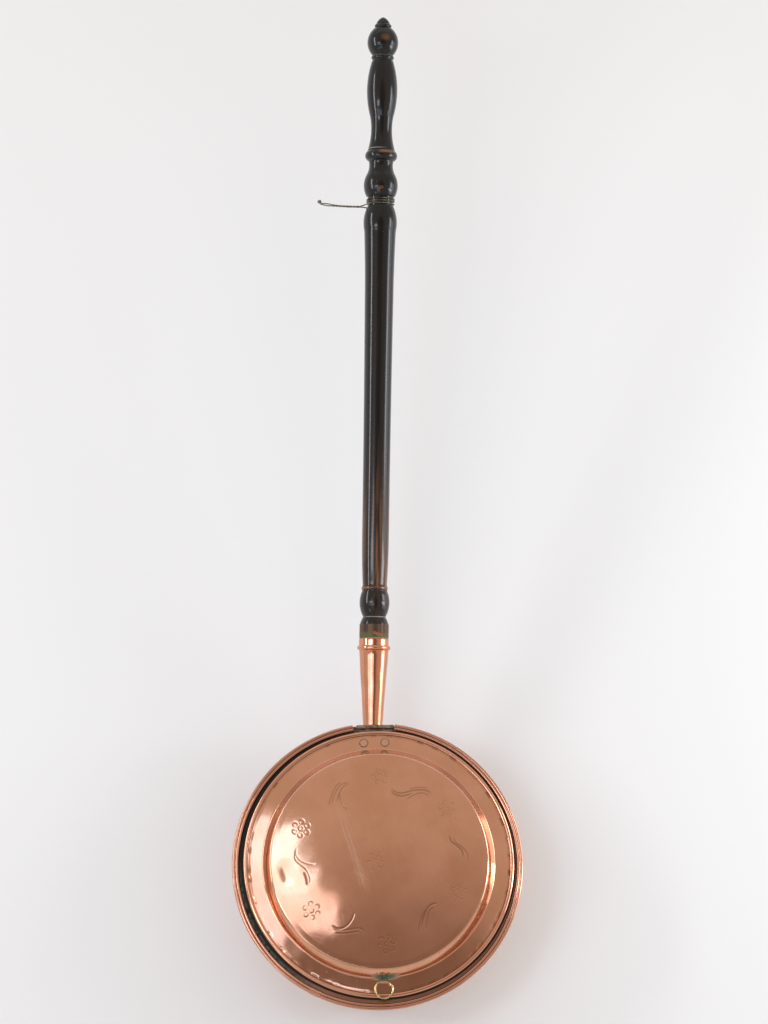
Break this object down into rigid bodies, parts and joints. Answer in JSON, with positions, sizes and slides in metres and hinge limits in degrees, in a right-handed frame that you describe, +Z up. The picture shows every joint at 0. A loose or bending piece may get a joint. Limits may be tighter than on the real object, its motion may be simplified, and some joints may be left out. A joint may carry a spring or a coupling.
{
  "type": "bed warmer",
  "caption": "Covered copper coal pan with a hinged raised lid, a lift ring and a long turned ebonised wooden handle.",
  "frame": {"origin": "centre of the pan's flat base, on the surface that it rests on", "axes": "+Z up through the lid, +Y from the pan's centre to the middle of the hinge, the side of the handle, +X right"},
  "size_m": [0.3, 1.0341, 0.2365],
  "materials": {
    "copper": "hand-polished copper with fine scratches and tarnish in the hollows",
    "aged_copper": "dark aged copper with verdigris",
    "brass_wire": "worn brass wire",
    "tarnished_wire": "stiff olive-grey tarnished wire",
    "iron_wire": "dark iron",
    "ebonised_wood": "glossy black finish worn to brown"
  },
  "bodies": {
    "pan_and_handle": {"pan_bowl": "copper", "pan_rim_band": "copper", "pan_rim_wire": "iron_wire", "socket_saddle": "aged_copper", "socket_rivets": "copper", "socket_cone": "copper", "socket_nail": "iron_wire", "wooden_handle": "ebonised_wood", "hanging_wire": "tarnished_wire", "hinge_pan_leaf": "aged_copper", "hinge_pan_rivets": "copper", "hinge_pin": "iron_wire"},
    "lid": {"lid_shell": "copper", "lid_edge_wire": "iron_wire", "hinge_lid_leaf": "aged_copper", "hinge_lid_rivets": "copper", "ring_strap": "aged_copper"},
    "ring": {"lift_ring": "brass_wire"}
  },
  "joints": [
    {"name": "lid_hinge", "type": "hinge", "parent": "pan_and_handle", "child": "lid", "pos_m": [0, 0.146, 0.08525], "axis": [-1, 0, 0], "range_deg": [0, 145]},
    {"name": "ring_swing", "type": "hinge", "parent": "lid", "child": "ring", "pos_m": [0.0042, -0.1222, 0.09193], "axis": [-1, 0, 0], "range_deg": [0, 138]}
  ]
}
